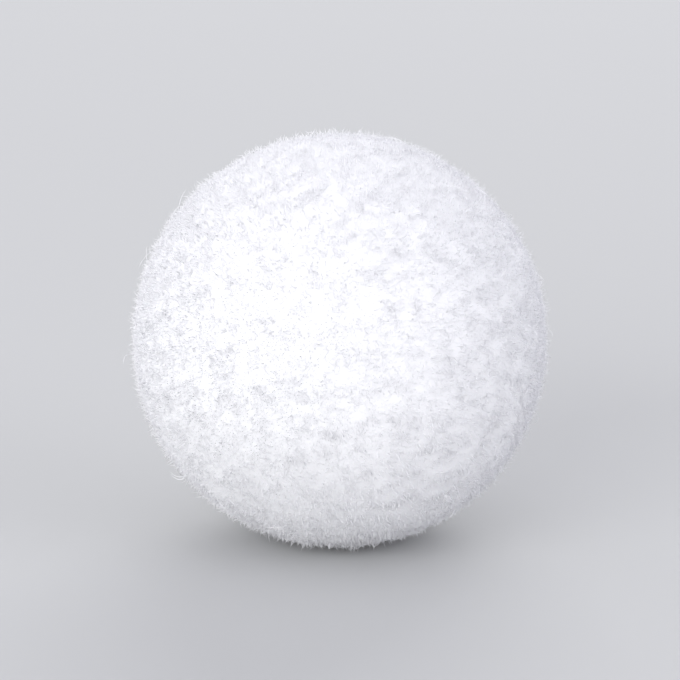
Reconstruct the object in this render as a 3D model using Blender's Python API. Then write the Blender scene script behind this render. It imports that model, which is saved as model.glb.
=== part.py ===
"""A plush snowball: one fleece-covered ball that rests on a small spot where its pile is pressed flat.

Metres, +Z up. The origin is at the bottom, at the middle of the resting spot.
"""

import math
import random

import bmesh
import bpy
from mathutils import Vector, noise
from mathutils.kdtree import KDTree

BALL_DIAMETER = 0.0703  # over the tips of the pile
REST_SPOT_RADIUS = 0.009  # where the ball's own weight presses the pile flat

CLUMP_COUNT = 520  # clumps of pile, each one soft mound on the surface
CLUMP_RELIEF = 0.0011  # from a mound's top down to the dips round it
CLUMP_UNEVENNESS = 0.35  # how much lower than the tallest a mound may be, as a share of the relief
MOUND_REACH = 0.58  # from a mound's middle to its foot, as a share of the spacing
SCATTER_SEED = 7

SPREADING_ROUNDS = 24  # how often the clumps push their neighbours away, which evens out the gaps
SPREADING_PUSH = 0.3  # how far each neighbour moves a clump, as a share of what would even it out

SWELL_HEIGHT = 0.0003  # slow swells left by the stuffing
SWELL_LENGTH = 0.011  # from the top of a swell to the foot of it

SURFACE_POINTS = 4900  # the solid's vertices, nine or so for each clump

FLEECE_COLOUR = (0.93, 0.94, 0.97, 1.0)
FLEECE_ROUGHNESS = 0.92

BALL_RADIUS = BALL_DIAMETER / 2
REST_DEPTH = math.sqrt(BALL_RADIUS**2 - REST_SPOT_RADIUS**2)  # from the centre down to the spot
CLUMP_SPACING = math.sqrt(8 * math.pi / math.sqrt(3) / CLUMP_COUNT)  # on a ball of radius 1
GOLDEN_ANGLE = math.pi * (3 - math.sqrt(5))


def clear_scene():
    """Removes whatever the file holds, so that the model starts from nothing."""
    for obj in list(bpy.data.objects):
        bpy.data.objects.remove(obj)


def tree_of(directions):
    """A search tree that finds the nearest of these unit vectors."""
    tree = KDTree(len(directions))
    for index, direction in enumerate(directions):
        tree.insert(direction, index)
    tree.balance()
    return tree


def pushed_apart(directions):
    """The same unit vectors, each moved away from the neighbours that stand too close."""
    tree = tree_of(directions)
    moved = []
    for direction in directions:
        push = Vector()
        for neighbour, _, gap in tree.find_range(direction, CLUMP_SPACING):
            if gap > 0:
                push += (direction - neighbour) * (CLUMP_SPACING / gap - 1)
        moved.append((direction + push * SPREADING_PUSH).normalized())
    return moved


def clump_directions(chance):
    """From the ball's centre to each clump, as unit vectors: scattered, then spread until the gaps are even."""
    directions = [Vector([chance.gauss(0, 1) for _ in range(3)]).normalized() for _ in range(CLUMP_COUNT)]
    for _ in range(SPREADING_ROUNDS):
        directions = pushed_apart(directions)
    return directions


def spiral_direction(index):
    """One of the solid's vertices, on a golden-angle spiral from pole to pole, as a unit vector."""
    height = 1 - (2 * index + 1) / SURFACE_POINTS
    ring = math.sqrt(1 - height * height)
    turn = GOLDEN_ANGLE * index
    return Vector((ring * math.cos(turn), ring * math.sin(turn), height))


def swell(direction):
    """How far the stuffing lifts the surface along this direction."""
    return SWELL_HEIGHT * noise.noise(direction * (BALL_RADIUS / SWELL_LENGTH))


def freedom(direction):
    """From 0 on the resting spot, where the pile is pressed flat, to 1 well away from it."""
    if direction.z > 0:
        return 1.0
    reach = math.hypot(direction.x, direction.y) * BALL_RADIUS / REST_SPOT_RADIUS
    share = min(max(reach - 1.0, 0.0), 1.0)
    return share * share * (3 - 2 * share)


def centre_over_origin(shape):
    """Slides the ball level until its outline is centred on the origin."""
    for axis in (0, 1):
        places = [vert.co[axis] for vert in shape.verts]
        middle = (min(places) + max(places)) / 2
        for vert in shape.verts:
            vert.co[axis] -= middle


def fleece_mesh():
    """The ball's surface: a round mound on each clump, dips between them, and the resting spot."""
    chance = random.Random(SCATTER_SEED)
    clumps = tree_of(clump_directions(chance))
    shortfalls = [CLUMP_UNEVENNESS * chance.random() for _ in range(CLUMP_COUNT)]

    shape = bmesh.new()
    for index in range(SURFACE_POINTS):
        shape.verts.new(spiral_direction(index))
    bmesh.ops.convex_hull(shape, input=shape.verts)

    for vert in shape.verts:
        direction = vert.co.normalized()
        _, clump, gap = clumps.find(direction)
        share = min(gap / (CLUMP_SPACING * MOUND_REACH), 1.0)
        depth = CLUMP_RELIEF * max(share * share, shortfalls[clump])
        vert.co = direction * (BALL_RADIUS + swell(direction) - depth * freedom(direction))
        vert.co.z = max(vert.co.z, -REST_DEPTH) + REST_DEPTH

    centre_over_origin(shape)
    bmesh.ops.recalc_face_normals(shape, faces=shape.faces)
    mesh = bpy.data.meshes.new("snowball")
    shape.to_mesh(mesh)
    shape.free()
    mesh.shade_smooth()
    return mesh


def fleece_material():
    """White polyester fleece, dull all over."""
    material = bpy.data.materials.new("white_fleece")
    material.use_nodes = True
    shader = material.node_tree.nodes["Principled BSDF"]
    shader.inputs["Base Color"].default_value = FLEECE_COLOUR
    shader.inputs["Roughness"].default_value = FLEECE_ROUGHNESS
    shader.inputs["Metallic"].default_value = 0.0
    return material


def main():
    clear_scene()
    parts = bpy.data.collections.new("plush_snowball")
    bpy.context.scene.collection.children.link(parts)
    ball = bpy.data.objects.new("snowball", fleece_mesh())
    ball.data.materials.append(fleece_material())
    parts.objects.link(ball)


main()
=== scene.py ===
"""The looks of a plush snowball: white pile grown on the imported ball, on a floor in soft studio light."""

import math

import bpy
import numpy as np
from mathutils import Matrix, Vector
from mathutils.bvhtree import BVHTree
from mathutils.kdtree import KDTree


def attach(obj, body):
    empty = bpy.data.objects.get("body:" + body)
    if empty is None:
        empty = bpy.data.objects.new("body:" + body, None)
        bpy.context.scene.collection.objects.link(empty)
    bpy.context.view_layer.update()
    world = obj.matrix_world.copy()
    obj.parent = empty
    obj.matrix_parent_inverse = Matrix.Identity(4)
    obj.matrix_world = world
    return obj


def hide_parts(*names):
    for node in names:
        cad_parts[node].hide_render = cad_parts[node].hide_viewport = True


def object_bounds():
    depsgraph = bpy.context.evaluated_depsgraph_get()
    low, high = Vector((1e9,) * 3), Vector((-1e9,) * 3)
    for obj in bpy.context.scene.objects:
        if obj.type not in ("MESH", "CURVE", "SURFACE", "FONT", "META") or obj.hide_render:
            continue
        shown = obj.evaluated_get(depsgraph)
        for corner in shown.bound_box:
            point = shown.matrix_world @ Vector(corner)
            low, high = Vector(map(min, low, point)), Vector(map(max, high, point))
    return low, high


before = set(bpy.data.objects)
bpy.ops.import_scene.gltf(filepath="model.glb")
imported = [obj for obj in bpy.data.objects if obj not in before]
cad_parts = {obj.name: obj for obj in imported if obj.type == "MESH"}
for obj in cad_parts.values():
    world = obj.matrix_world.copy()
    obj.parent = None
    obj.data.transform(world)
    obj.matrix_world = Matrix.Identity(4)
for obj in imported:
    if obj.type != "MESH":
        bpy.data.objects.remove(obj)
cad_low, cad_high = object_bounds()

MM = 0.001
SEED = 20

# The ball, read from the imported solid
BALL_RADIUS = (cad_high.x - cad_low.x) / 2
CENTRE = np.array([0.0, 0.0, cad_high.z - BALL_RADIUS])
BALL_AREA = 4 * math.pi * BALL_RADIUS**2
MEAN_RELIEF = 0.5 * MM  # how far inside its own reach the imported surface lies, on average
EVEN_RADIUS = BALL_RADIUS - MEAN_RELIEF
RELIEF_KEPT = 0.1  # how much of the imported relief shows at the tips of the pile

# The dense pile, which is too thick to see into
DENSE_DEPTH = 0.45 * MM  # how far it lies below the tips
PRESSED_DEPTH = 0.3 * MM  # what is left of that where the floor flattens the pile
LOCK_MOUND = 0.06 * MM  # how far it rises under each lock
MOUND_REACH = 0.6  # from a mound's middle to its foot, as a share of the locks' spacing
DENSE_FINENESS = 7  # icosphere levels, which give 81,920 triangles

# The fibres, which grow in locks
LOCK_SPACING = 2.0 * MM
LOCK_STRAY = 0.22  # how far a lock lies from its even place, typically, as a share of the spacing
LOCK_SPREAD = 1.0 * MM  # how far a lock's roots lie from its middle, typically
LOCK_UNEVENNESS = 0.08 * MM  # how much one lock stands over the next, typically
LOCK_LEAN = 0.1 * MM  # how far one lock leans out of the nap, typically
NAP_LEAN = 0.15 * MM  # how far the whole pile leans, to one side here and to another there
NAP_LENGTH = 11 * MM  # over what distance that side changes
NAP_WAVES = 10  # how many waves make up that change
GATHER = (0.0, 0.2)  # how much of the way a fibre's tip is drawn to its lock's tip, least and most
FIBRES_IN_LOCK = 36  # which keeps all pieces together under a million triangles
FIBRE_WIDTH = 0.11 * MM
FIBRE_STRAY = 0.35 * MM  # how far a fibre's tip strays sideways, typically
FIBRE_SHORTFALL = 0.2 * MM  # how far below the surface a fibre ends, on average, if it doesn't stand out
FIBRE_UNEVENNESS = 0.15 * MM  # how much one fibre ends above the next, typically
WISP_REACH = 0.26 * MM  # how far past that end the fibres of an average lock reach, on average
WISP_UNEVENNESS = 0.25  # how much that average differs from lock to lock, as a share of it
WISP_MOST = 1.2 * MM  # the furthest that any fibre reaches past it
WISP_GATHER = 0.4  # how much more of the way the furthest fibres are drawn to their lock's tip
MIDDLE_HEIGHT = (0.55, 0.75)  # where along its height a fibre is widest and bends, least and most
MIDDLE_DRAW = 0.38  # how far over the middle lies: at 0 above the root, at 1 below the tip
MIDDLE_STRAY = 0.8  # how far it strays sideways, as a share of the tip's stray
ROOT_DEPTH = 0.5 * MM  # how far a fibre starts below the top of the dense pile
FIBRE_PIECES = 6  # which keeps each one under 200,000 triangles

# Single hairs that stray out of the pile
HAIR_COUNT = 180
HAIR_WIDTH = 0.1 * MM
HAIR_LENGTH = (2.5 * MM, 5.0 * MM)
HAIR_RISE = (0.6 * MM, 2.0 * MM)  # how far a hair's end stands out of the pile
HAIR_BEND = 1.5  # how late a hair turns aside: at 1 it slants evenly from its root
HAIR_CURL = 0.25  # how far it bows on its way, as a share of its length
HAIR_POINTS = 7
HAIR_LOWEST = -0.75  # no hair grows lower than this share of the radius, where it would lie on the floor

WIDTH_RANGE = (0.7, 1.3)  # the thinnest and the thickest fibre or hair, as shares of the usual width
FLOOR_GAP = 0.15 * MM  # the nearest that the centre line of a fibre or hair comes to the floor
CELL_MARGIN = 0.06  # free edge round each fibre's cell in the bake map, as a share of the cell

# The look of the pile
TIP_COLOUR = (0.985, 0.985, 0.998, 1)
SHADE_START_DEPTH = 0.2 * MM  # below the ball's reach, where the painted shade starts to darken that colour
# painted shade: a darker lilac colour given to the depths of the pile, standing in for the shade between its
# fibres
PAINTED_DEEP_SHADE = (0.945, 0.945, 0.985, 1)
FULL_SHADE_DEPTH = 2.0 * MM  # where the painted shade is deepest
PATCH_SCALE = 330.0  # of the noise that varies the shade, over about 3 mm
PATCH_DETAIL = 3.0  # how many finer layers that noise has
SHADE_RANGE = (0.98, 1.0)  # the darkest and the lightest patch or fibre, as shares of its colour
ROUGHNESS_RANGE = (0.7, 0.95)
PILE_SPECULAR = 0.25
SHEEN = 0.25
SHEEN_ROUGHNESS = 0.5
LIGHT_SHARE = 0.8  # how much of the light that meets the dense pile spreads inside it
LIGHT_REACH = 1.5 * MM  # how far it spreads
GRAIN_SCALE = 5200.0  # of the noise that makes the dense pile grainy, over about 0.2 mm
GRAIN_HEIGHT = 0.1 * MM
GRAIN_STRENGTH = 0.7

# The floor and the light
FLOOR_RADIUS = 1.6
FLOOR_EDGES = 128
FLOOR_COLOUR = (0.55, 0.555, 0.55, 1)
FLOOR_ROUGHNESS = 0.9
FLOOR_SPECULAR = 0.1
LIGHT_DISTANCE = 2.6
FILL_COLOUR = (0.93, 0.93, 1.0)
SURROUND_COLOUR = (0.92, 0.92, 1.0, 1)
SURROUND_STRENGTH = 0.8

# The photograph's view, from the fit of its perspective
VIEW_AZIMUTH = 27.6
VIEW_ELEVATION = 14.8
VIEW_DISTANCE = 0.79
LENS = 250.0  # longer than the photograph's own, so that the ball fills the frame
SENSOR_WIDTH = 36.0
CLIP_START = 0.05

# Directions that are too near upright or level for the sums they are in
UPRIGHT = 0.9  # one with more than this share of height counts as upright
LEAST_FALL = 0.01  # one that falls less than this is taken to fall this much

chance = np.random.default_rng(SEED)


def unit(vectors):
    """The same vectors with length 1."""
    return vectors / np.linalg.norm(vectors, axis=-1, keepdims=True)


def even_directions(count, stray):
    """Unit vectors spread evenly along a golden-angle spiral, each strayed by a share of the spacing."""
    index = np.arange(count)
    height = 1 - (2 * index + 1) / count
    ring = np.sqrt(1 - height**2)
    turn = math.pi * (3 - math.sqrt(5)) * index
    even = np.stack([ring * np.cos(turn), ring * np.sin(turn), height], axis=-1)
    return unit(even + chance.normal(0, stray * math.sqrt(4 * math.pi / count), even.shape))


def sideways(ways):
    """Two unit vectors at right angles to each direction and to each other."""
    helper = np.where(np.abs(ways[..., 2:]) < UPRIGHT, [0.0, 0.0, 1.0], [1.0, 0.0, 0.0])
    first = unit(np.cross(ways, helper))
    return first, np.cross(ways, first)


def across(ways, size):
    """A random step along the surface for each direction, with this typical length."""
    first, second = sideways(ways)
    steps = chance.normal(0, size, ways.shape[:-1] + (2,))
    return first * steps[..., :1] + second * steps[..., 1:]


def nap(ways):
    """A step along the surface that turns slowly from place to place, made of a few random waves."""
    steps = np.zeros_like(ways)
    for _ in range(NAP_WAVES):
        wave = unit(chance.normal(size=3)) * math.tau * BALL_RADIUS / NAP_LENGTH
        push = chance.normal(size=3)
        steps += push * np.sin(ways @ wave + chance.uniform(0, math.tau))[..., None]
    steps -= ways * np.sum(steps * ways, axis=-1, keepdims=True)
    return steps / math.sqrt(NAP_WAVES)


class Surface:
    """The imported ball's outer surface, which the tips of the pile reach."""

    def __init__(self, node):
        self.tree = BVHTree.FromObject(node, bpy.context.evaluated_depsgraph_get())
        self.centre = Vector(CENTRE)

    def radii(self, directions):
        """How far the tips reach along each direction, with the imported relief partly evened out."""
        flat = directions.reshape(-1, 3)
        packed = np.array([self.tree.ray_cast(self.centre, Vector(way))[3] for way in flat])
        to_floor = CENTRE[2] / np.maximum(-flat[:, 2], LEAST_FALL)
        even = np.minimum(EVEN_RADIUS, to_floor)
        return (even + (packed - even) * RELIEF_KEPT).reshape(directions.shape[:-1])


def dense_depths(directions, radii):
    """How far below the tips the dense pile lies: less where the floor presses the pile."""
    height = CENTRE[2] + directions[..., 2] * radii
    return np.clip(PRESSED_DEPTH + height, 0, DENSE_DEPTH)


def dense_pile(surface, lock_ways):
    """The ball as far out as the pile is dense, with a small mound under each lock."""
    bpy.ops.mesh.primitive_ico_sphere_add(subdivisions=DENSE_FINENESS, radius=1)
    piece = bpy.context.object
    piece.name = "dense_pile"
    points = np.empty(len(piece.data.vertices) * 3, np.float32)
    piece.data.vertices.foreach_get("co", points)
    ways = unit(points.reshape(-1, 3).astype(float))

    locks = KDTree(len(lock_ways))
    for index, way in enumerate(lock_ways):
        locks.insert(way, index)
    locks.balance()
    gaps = np.array([locks.find(way)[2] for way in ways]) * BALL_RADIUS
    mound = LOCK_MOUND * (1 - np.clip(gaps / (LOCK_SPACING * MOUND_REACH), 0, 1) ** 2)

    radii = surface.radii(ways)
    depths = dense_depths(ways, radii)
    radii = radii - depths + mound * depths / DENSE_DEPTH
    places = CENTRE + ways * radii[:, None]
    piece.data.vertices.foreach_set("co", places.astype(np.float32).ravel())
    piece.data.shade_smooth()
    piece.data.update()
    widen_bake_map(piece.data.uv_layers[0])
    return piece


def widen_bake_map(net):
    """Stretches the sphere's own unrolled map over the whole square and names it for baking."""
    net.name = "OFBake"
    spots = np.empty(len(net.uv) * 2, np.float32)
    net.uv.foreach_get("vector", spots)
    spots = spots.reshape(-1, 2)
    net.uv.foreach_set("vector", (spots / spots.max(axis=0)).ravel())


def fibre_lines(surface, lock_ways):
    """Root, middle and tip of every fibre, as an array of fibres by 3 points by 3 coordinates."""
    shape = (len(lock_ways), FIBRES_IN_LOCK, 3)
    lock_grid = np.broadcast_to(lock_ways[:, None, :], shape)
    root_ways = unit(lock_grid + across(lock_grid, LOCK_SPREAD / BALL_RADIUS))

    lean = nap(lock_ways) * NAP_LEAN / BALL_RADIUS + across(lock_ways, LOCK_LEAN / BALL_RADIUS)
    reach = WISP_REACH * chance.lognormal(0, WISP_UNEVENNESS, (shape[0], 1))
    reach = np.minimum(chance.exponential(reach, shape[:2]), WISP_MOST)
    gather = chance.uniform(*GATHER, shape[:2]) + WISP_GATHER * reach / WISP_MOST
    gather = gather[..., None]
    tip_ways = root_ways * (1 - gather) + lock_grid * gather + lean[:, None, :]
    tip_ways = unit(tip_ways + across(lock_grid, FIBRE_STRAY / BALL_RADIUS))
    mid_ways = root_ways * (1 - MIDDLE_DRAW) + tip_ways * MIDDLE_DRAW
    mid_ways = unit(mid_ways + across(lock_grid, MIDDLE_STRAY * FIBRE_STRAY / BALL_RADIUS))

    tall = reach + chance.normal(0, LOCK_UNEVENNESS, (shape[0], 1))
    tall = tall + chance.normal(-FIBRE_SHORTFALL, FIBRE_UNEVENNESS, shape[:2])
    root_radii = surface.radii(root_ways)
    root_radii = root_radii - dense_depths(root_ways, root_radii) - ROOT_DEPTH
    tip_radii = surface.radii(tip_ways) + tall
    mid_radii = root_radii + (tip_radii - root_radii) * chance.uniform(*MIDDLE_HEIGHT, shape[:2])

    ways = np.stack([root_ways, mid_ways, tip_ways], axis=2)
    radii = np.stack([root_radii, mid_radii, tip_radii], axis=2)
    return (CENTRE + ways * radii[..., None]).reshape(-1, 3, 3)


def hair_lines(surface):
    """Points along every stray hair: up out of the pile, then bending away to one side."""
    ways = unit(chance.normal(size=(HAIR_COUNT, 3)))
    ways = ways[ways[:, 2] > HAIR_LOWEST]
    count = len(ways)
    along = np.linspace(0, 1, HAIR_POINTS)[None, :, None]
    lengths = chance.uniform(*HAIR_LENGTH, (count, 1, 1))
    bend = unit(across(ways, 1))[:, None, :] * lengths / BALL_RADIUS
    curl = unit(across(ways, 1))[:, None, :] * lengths * HAIR_CURL / BALL_RADIUS
    paths = unit(ways[:, None, :] + bend * along**HAIR_BEND + curl * np.sin(along * math.pi))

    start = surface.radii(ways)[:, None, None] - DENSE_DEPTH
    rise = chance.uniform(*HAIR_RISE, (count, 1, 1)) + DENSE_DEPTH
    return CENTRE + paths * (start + rise * np.sin(along * math.pi / 2))


def strand_faces(rings):
    """One strand's triangles, as point numbers and as places on its three sides laid out in a square."""
    tip = 1 + 3 * rings
    faces = []
    for side in range(3):
        after = (side + 1) % 3
        left = [(1 + 3 * ring + side, side / 3, (ring + 1) / (rings + 1)) for ring in range(rings)]
        right = [(1 + 3 * ring + after, (side + 1) / 3, (ring + 1) / (rings + 1)) for ring in range(rings)]
        faces.append((right[0], left[0], (0, (side + 0.5) / 3, 0)))
        for ring in range(rings - 1):
            faces.append((left[ring], right[ring], right[ring + 1]))
            faces.append((left[ring], right[ring + 1], left[ring + 1]))
        faces.append((left[-1], right[-1], (tip, (side + 0.5) / 3, 1)))
    table = np.array(faces)
    return table[..., 0].astype(int), table[..., 1:]


def strands(name, lines, width):
    """Closed three-sided strands, one along each line of points, which taper to a point at both ends."""
    count, steps = lines.shape[:2]
    rings = steps - 2
    lines = np.concatenate([lines[..., :2], np.maximum(lines[..., 2:], FLOOR_GAP)], axis=-1)
    first, second = sideways(unit(lines[:, -1] - lines[:, 0]))
    widths = width * chance.uniform(*WIDTH_RANGE, (count, 1))
    points = np.empty((count, 2 + 3 * rings, 3))
    points[:, 0] = lines[:, 0]
    points[:, -1] = lines[:, -1]
    for corner in range(3):
        angle = math.tau * corner / 3
        out = (first * math.cos(angle) + second * math.sin(angle)) * widths / 2
        points[:, 1 + corner : -1 : 3] = lines[:, 1:-1] + out[:, None, :]

    one, places = strand_faces(rings)
    number = np.arange(count)[:, None, None]
    faces = one + points.shape[1] * number
    cells = math.ceil(math.sqrt(count))
    cell = np.stack([number % cells, number // cells], axis=-1)
    spots = (cell + CELL_MARGIN + (1 - 2 * CELL_MARGIN) * places) / cells
    return mesh_object(name, points.reshape(-1, 3), faces.reshape(-1, 3), spots.reshape(-1, 2))


def mesh_object(name, points, faces, spots):
    """A smooth-shaded mesh piece made of these triangles, with these spots as its bake map."""
    mesh = bpy.data.meshes.new(name)
    mesh.vertices.add(len(points))
    mesh.vertices.foreach_set("co", points.astype(np.float32).ravel())
    mesh.loops.add(faces.size)
    mesh.loops.foreach_set("vertex_index", faces.astype(np.int32).ravel())
    mesh.polygons.add(len(faces))
    mesh.polygons.foreach_set("loop_start", np.arange(0, faces.size, 3, dtype=np.int32))
    mesh.update(calc_edges=True)
    mesh.uv_layers.new(name="OFBake").uv.foreach_set("vector", spots.astype(np.float32).ravel())
    mesh.shade_smooth()
    piece = bpy.data.objects.new(name, mesh)
    bpy.context.scene.collection.objects.link(piece)
    return piece


def spread(nodes, links, value, low, high):
    """A node that turns a value from 0 to 1 into one from low to high."""
    scale = nodes.new("ShaderNodeMapRange")
    scale.inputs["To Min"].default_value = low
    scale.inputs["To Max"].default_value = high
    links.new(value, scale.inputs["Value"])
    return scale.outputs["Result"]


def pile_material(name):
    """White pile: near white at the tips, with painted lilac shade that darkens it towards its depths, no
    two fibres quite alike.
    """
    material = bpy.data.materials.new(name)
    material.use_nodes = True
    nodes, links = material.node_tree.nodes, material.node_tree.links
    shader = nodes["Principled BSDF"]

    place = nodes.new("ShaderNodeTexCoord")
    distance = nodes.new("ShaderNodeVectorMath")
    distance.operation = "DISTANCE"
    distance.inputs[1].default_value = CENTRE
    links.new(place.outputs["Object"], distance.inputs[0])

    # painted shade: towards the ball's centre the colour darkens to lilac, standing in for the shade deep in
    # the pile
    rise = nodes.new("ShaderNodeMapRange")
    rise.inputs["From Min"].default_value = BALL_RADIUS - FULL_SHADE_DEPTH
    rise.inputs["From Max"].default_value = BALL_RADIUS - SHADE_START_DEPTH
    links.new(distance.outputs["Value"], rise.inputs["Value"])

    painted_depth_shade = nodes.new("ShaderNodeMix")
    painted_depth_shade.data_type = "RGBA"
    painted_depth_shade.inputs["A"].default_value = PAINTED_DEEP_SHADE
    painted_depth_shade.inputs["B"].default_value = TIP_COLOUR
    links.new(rise.outputs["Result"], painted_depth_shade.inputs["Factor"])

    patches = nodes.new("ShaderNodeTexNoise")
    patches.inputs["Scale"].default_value = PATCH_SCALE
    patches.inputs["Detail"].default_value = PATCH_DETAIL
    links.new(place.outputs["Object"], patches.inputs["Vector"])
    patch_shade = spread(nodes, links, patches.outputs["Fac"], *SHADE_RANGE)

    strand = nodes.new("ShaderNodeNewGeometry")
    strand_shade = spread(nodes, links, strand.outputs["Random Per Island"], *SHADE_RANGE)

    shade = nodes.new("ShaderNodeMath")
    shade.operation = "MULTIPLY"
    links.new(patch_shade, shade.inputs[0])
    links.new(strand_shade, shade.inputs[1])

    tone = nodes.new("ShaderNodeVectorMath")
    tone.operation = "SCALE"
    links.new(painted_depth_shade.outputs["Result"], tone.inputs[0])
    links.new(shade.outputs["Value"], tone.inputs["Scale"])
    links.new(tone.outputs["Vector"], shader.inputs["Base Color"])

    roughness = spread(nodes, links, patches.outputs["Fac"], *ROUGHNESS_RANGE)
    links.new(roughness, shader.inputs["Roughness"])
    shader.inputs["Specular IOR Level"].default_value = PILE_SPECULAR
    shader.inputs["Sheen Weight"].default_value = SHEEN
    shader.inputs["Sheen Roughness"].default_value = SHEEN_ROUGHNESS
    return material


def dense_material():
    """Pile seen down to where its fibres are packed: light spreads inside it, and it is grainy."""
    material = pile_material("dense_white_pile")
    nodes, links = material.node_tree.nodes, material.node_tree.links
    shader = nodes["Principled BSDF"]
    shader.inputs["Subsurface Weight"].default_value = LIGHT_SHARE
    shader.inputs["Subsurface Radius"].default_value = (1.0, 1.0, 1.0)
    shader.inputs["Subsurface Scale"].default_value = LIGHT_REACH

    place = nodes.new("ShaderNodeTexCoord")
    grain = nodes.new("ShaderNodeTexNoise")
    grain.inputs["Scale"].default_value = GRAIN_SCALE
    links.new(place.outputs["Object"], grain.inputs["Vector"])

    bump = nodes.new("ShaderNodeBump")
    bump.inputs["Strength"].default_value = GRAIN_STRENGTH
    bump.inputs["Distance"].default_value = GRAIN_HEIGHT
    links.new(grain.outputs["Fac"], bump.inputs["Height"])
    links.new(bump.outputs["Normal"], shader.inputs["Normal"])
    return material


def floor_material():
    """Matt pale card."""
    material = bpy.data.materials.new("pale_floor")
    material.use_nodes = True
    shader = material.node_tree.nodes["Principled BSDF"]
    shader.inputs["Base Color"].default_value = FLOOR_COLOUR
    shader.inputs["Roughness"].default_value = FLOOR_ROUGHNESS
    shader.inputs["Specular IOR Level"].default_value = FLOOR_SPECULAR
    return material


def make_floor():
    """A plain pale floor, wide enough to fill any view that looks down on the ball by 10 degrees or more."""
    bpy.ops.mesh.primitive_circle_add(vertices=FLOOR_EDGES, radius=FLOOR_RADIUS, fill_type="NGON")
    floor = bpy.context.object
    floor.name = "floor"
    floor.data.materials.append(floor_material())


def direction_from(azimuth, elevation):
    """From the ball towards this azimuth and elevation in degrees, where azimuth 0 is -Y and 90 is +X."""
    turn, lift = math.radians(azimuth), math.radians(elevation)
    return Vector((math.sin(turn) * math.cos(lift), -math.cos(turn) * math.cos(lift), math.sin(lift)))


def area_light(name, azimuth, elevation, size, power, colour=(1, 1, 1)):
    """A square soft box aimed at the ball."""
    lamp = bpy.data.lights.new(name, "AREA")
    lamp.shape = "SQUARE"
    lamp.size = size
    lamp.energy = power
    lamp.color = colour
    light = bpy.data.objects.new(name, lamp)
    aim = direction_from(azimuth, elevation)
    light.location = Vector(CENTRE) + aim * LIGHT_DISTANCE
    light.rotation_mode = "QUATERNION"
    light.rotation_quaternion = aim.to_track_quat("Z", "Y")
    bpy.context.scene.collection.objects.link(light)


def make_lights():
    """Soft studio light: a large key at the left of the view, a fill, a back light and a bright surround."""
    area_light("key", azimuth=VIEW_AZIMUTH - 32, elevation=12, size=2.2, power=57)
    area_light("fill", azimuth=VIEW_AZIMUTH + 58, elevation=16, size=1.8, power=16, colour=FILL_COLOUR)
    area_light("back", azimuth=VIEW_AZIMUTH + 170, elevation=26, size=1.8, power=34)
    world = bpy.data.worlds.new("surround")
    world.use_nodes = True
    background = world.node_tree.nodes["Background"]
    background.inputs["Color"].default_value = SURROUND_COLOUR
    background.inputs["Strength"].default_value = SURROUND_STRENGTH
    bpy.context.scene.world = world


def make_camera():
    """A camera where the photograph's stood, aimed at the middle of the ball."""
    data = bpy.data.cameras.new("camera")
    data.lens = LENS
    data.sensor_width = SENSOR_WIDTH
    data.clip_start = CLIP_START
    camera = bpy.data.objects.new("camera", data)
    aim = direction_from(VIEW_AZIMUTH, VIEW_ELEVATION)
    camera.location = Vector(CENTRE) + aim * VIEW_DISTANCE
    camera.rotation_mode = "QUATERNION"
    camera.rotation_quaternion = aim.to_track_quat("Z", "Y")
    bpy.context.scene.collection.objects.link(camera)
    bpy.context.scene.camera = camera


def dress(piece, material):
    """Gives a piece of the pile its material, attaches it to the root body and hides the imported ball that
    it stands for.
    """
    piece.data.materials.clear()
    piece.data.materials.append(material)
    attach(piece, "root")
    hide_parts("snowball")


def main():
    """Builds the pile and the studio round it."""
    surface = Surface(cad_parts["snowball"])
    lock_ways = even_directions(round(BALL_AREA / LOCK_SPACING**2), LOCK_STRAY)

    body = dense_pile(surface, lock_ways)
    dress(body, dense_material())

    pile = pile_material("white_pile")
    lines = fibre_lines(surface, lock_ways)
    chance.shuffle(lines)
    for number, part in enumerate(np.array_split(lines, FIBRE_PIECES), 1):
        dress(strands(f"pile_fibres_{number}", part, FIBRE_WIDTH), pile)
    dress(strands("stray_hairs", hair_lines(surface), HAIR_WIDTH), pile)

    make_floor()
    make_lights()
    make_camera()
    bpy.context.scene.view_settings.view_transform = "Standard"


main()
